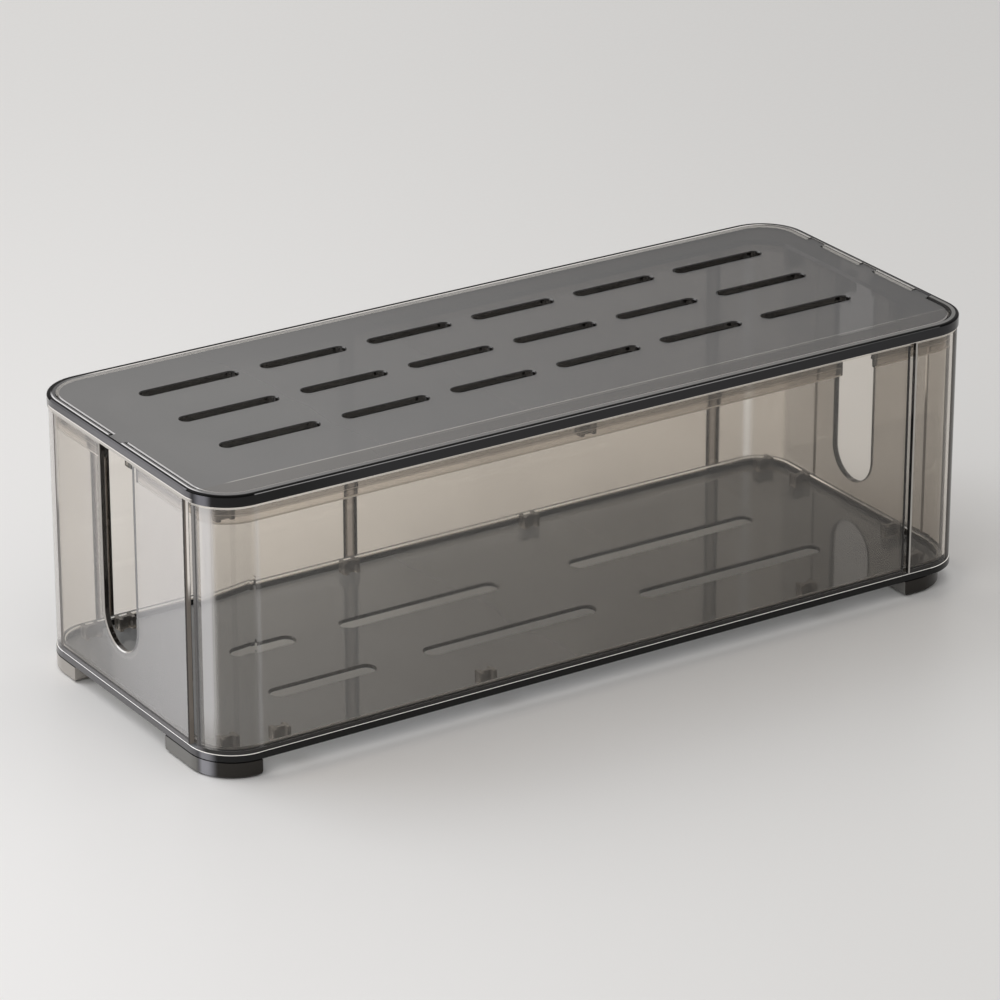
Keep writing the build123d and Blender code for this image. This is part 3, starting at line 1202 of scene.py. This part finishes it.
# What each edge gives the eye stands before it. All of it is the one smoked polystyrene.
EDGES: tuple[EdgePlastic, ...] = (
    # Black where the eye looks into a cut edge, through all of the sheet's smoke.
    EdgePlastic("cut_edge", "#161412", "#1a1817"),
    # Brown-grey eased edges along the slits, and panel ends with painted light for the light they
    # pipe.
    EdgePlastic("slit_edge", "#3b3734", "#4a4744"),
    SlitEnd("slit_end", "#5d5751", "#5d5751", painted_emission=0.6),
    EdgePlastic("notch_wall", "#1f1b18", "#1f1b18"),
    # Painted highlights: thin pale lines, some with painted emission, where a rounded edge catches
    # the room.
    RimLine("rim_line", "#8a8989", "#eeedec", painted_emission=0.1),
    EdgePlastic("tray_line", "#e0ddd8", "#f0efee", painted_emission=0.35),
    LipLine("lip_line", "#a09d98", "#a5a3a2", painted_emission=0.5),
    EdgePlastic("notch_line", "#a8a49f", "#e6e5e4", painted_emission=0.15),
    EdgePlastic("panel_line", "#a5a19e", "#cfcdcd", painted_emission=0.05),
    # The blackest lines, painted shade in the rim's groove and under the vent slots.
    EdgePlastic("rim_groove", "#0c0b0b", "#0c0b0b", shine=0.04),
    # Painted light, with painted emission, for what the lip and the rim pipe down to their lower
    # edges.
    EdgePlastic("lip_edge", "#c6bfb6", "#f4f2f0", painted_emission=0.4),
    EdgePlastic("rim_underside", "#cbc6bf", "#cfcdcb", painted_emission=0.4),
    # Glossy dark bands round the lid, round the tray and on the feet, with painted light at the
    # left and the corner.
    BandPlastic(
        "band", "#060607", "#636266", corner_highlight="#76767c", corner_highlight_angles=(14, 27, 32, 42),
        rear_clarity=0.9, painted_leak_level=126.6, lit_front="#232325", far_shade=0.55),
    BandPlastic("tray_band", "#0b0b0b", "#5a595b", corner_highlight="#838388"),
    FootPlastic("foot", "#24211d", "#71706d", corner_highlight="#94949a"),
)

# The sheets that the eye looks through, with what each gives it.
SHEETS: tuple[SmokedPlastic, ...] = (
    # Faint warm smoke, clear enough to see the floor and the far wall.
    WallPlastic("wall", "#f4efe8", "#e1dbd3", lamp_share=0.85),
    # Darker upright strips in the back wall.
    StripPlastic("seam_strip", "#b8b0a8", "#a39c94", clarity=(0.9, 0.9)),
    # Slightly deeper smoke where a lip doubles the wall.
    SmokedPlastic("tray_lip", "#dcd7d0", "#cbc6be", lamp_share=0.7),
    LipPlastic("lid_lip", "#e7e2dc", "#bfb9b2", lamp_share=0.7),
    # Cool grey floor, half clouded, which mirrors the walls.
    SmokedPlastic(
        "tray", "#999da1", "#6f7070", clarity=(0.4, 0.6), roughness=0.04, lamp_share=0.9),
    # Dense grey top, nearly opaque at the left and clearer to the right.
    VentedPlastic("lid_panel", "#787776", "#6c6a69", clarity=(0.3, 0.9), roughness=0.07),
    RimPlastic("rim_top", "#6c6b6a", "#63625f", clarity=(0.1, 0.8)),
    SmokedPlastic("lid_frame", "#cfccc8", "#cfccc8", clarity=(0.95, 0.95)),
    # Pale posts with darker flanks.
    SmokedPlastic(
        "post", "#c4c1bd", "#aeaaa6", clarity=(0.9, 0.9), roughness=0.06, lamp_share=0.5),
    SmokedPlastic(
        "post_side", "#8f8c88", "#7b7874", clarity=(0.8, 0.8), roughness=0.08, lamp_share=0.5),
)


def dress_box() -> None:
    """Builds each finish once and dresses each sub-assembly."""
    made = {finish.name: finish.build() for finish in (*EDGES, *SHEETS)}

    def finishes(**zones: str) -> dict[Zone, bpy.types.Material]:
        """The named finish for each named zone, and the cut edge's for the others."""
        return {zone: made[zones.get(zone.name.lower(), "cut_edge")] for zone in Zone}

    Tray(("base_tray",), finishes(
        face="tray", lip="tray_lip", eased="tray_line", seat="lip_line", band="tray_band")).dress()
    Feet(nodes_named(["foot_"]), finishes(band="foot")).dress()
    Walls(nodes_named(["front_", "right_end", "left_end", "back_"], ["back_seam"]), finishes(
        face="wall", lip="slit_end", eased="slit_edge", seat="notch_line",
        band="notch_wall")).dress()
    Seams(nodes_named(["back_seam"]), finishes(face="seam_strip")).dress()
    LidFrame(("lid_frame",), finishes(
        face="lid_frame", lip="lid_frame", eased="rim_line", seat="rim_underside", band="band",
        rim="rim_top", cut="rim_groove")).dress()
    LidPanel(("lid_panel",), finishes(face="lid_panel", eased="panel_line")).dress()
    Lips(nodes_named(["lid_lip"]), finishes(face="lid_lip", eased="lip_edge")).dress()
    Posts(nodes_named(["tray_post", "lid_post"]), finishes(
        face="post_side", lip="post", seat="post")).dress()
    SlotShadeRibs().build(made["rim_groove"])


def main() -> None:
    """Builds the studio and dresses the box."""
    logging.basicConfig(level=logging.INFO, format="%(name)s: %(message)s")
    scene = bpy.context.scene
    scene.view_settings.view_transform = "Standard"
    scene.cycles.caustics_reflective = False
    scene.cycles.caustics_refractive = False
    scene.cycles.transparent_max_bounces = 32
    scene.cycles.sample_clamp_indirect = 3.0
    scene.cycles.max_bounces = 24
    scene.cycles.transmission_bounces = 20
    LongLens().build()
    Studio().build()
    dress_box()


if __name__ == "__main__":
    main()
